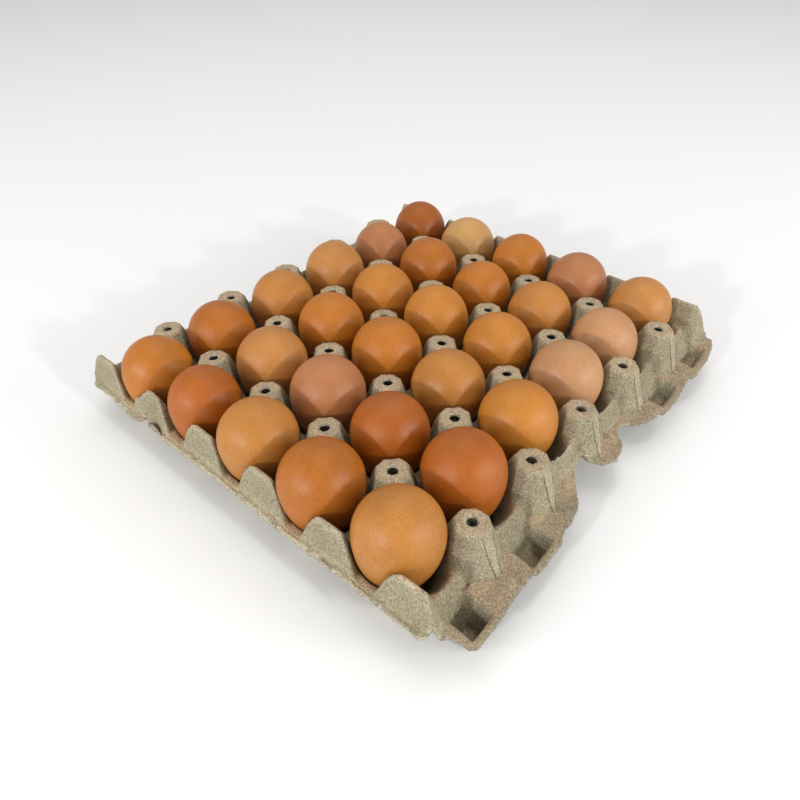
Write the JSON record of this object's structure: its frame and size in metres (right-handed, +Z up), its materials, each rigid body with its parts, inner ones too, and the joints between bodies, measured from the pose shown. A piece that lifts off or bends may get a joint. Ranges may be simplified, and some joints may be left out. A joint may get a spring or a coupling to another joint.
{
  "type": "filled egg tray",
  "caption": "Square moulded pulp egg tray with hollow posts, flanged sides and finger notches, a brown hen's egg standing in every cup.",
  "frame": {"origin": "centre of the tray's footprint, on the plane that the cup floors stand on", "axes": "+Z up out of the cups; +X along the rows of six eggs, towards a narrow end; +Y along the files of five, towards a side with a wide flange"},
  "size_m": [0.2988, 0.296, 0.0634],
  "materials": {
    "pulp": "raw moulded grey-brown paper pulp, felt-like and speckled with fibres",
    "eggshell": "brown hen's eggshell, semi-matt, from pale tan to deep red-brown with fine speckles"
  },
  "bodies": {
    "root": {"tray": "pulp", "egg_1_1": "eggshell", "egg_1_2": "eggshell", "egg_1_3": "eggshell", "egg_1_4": "eggshell", "egg_1_5": "eggshell", "egg_1_6": "eggshell", "egg_2_1": "eggshell", "egg_2_2": "eggshell", "egg_2_3": "eggshell", "egg_2_4": "eggshell", "egg_2_5": "eggshell", "egg_2_6": "eggshell", "egg_3_1": "eggshell", "egg_3_2": "eggshell", "egg_3_3": "eggshell", "egg_3_4": "eggshell", "egg_3_5": "eggshell", "egg_3_6": "eggshell", "egg_4_1": "eggshell", "egg_4_2": "eggshell", "egg_4_3": "eggshell", "egg_4_4": "eggshell", "egg_4_5": "eggshell", "egg_4_6": "eggshell", "egg_5_1": "eggshell", "egg_5_2": "eggshell", "egg_5_3": "eggshell", "egg_5_4": "eggshell", "egg_5_5": "eggshell", "egg_5_6": "eggshell"}
  },
  "joints": []
}
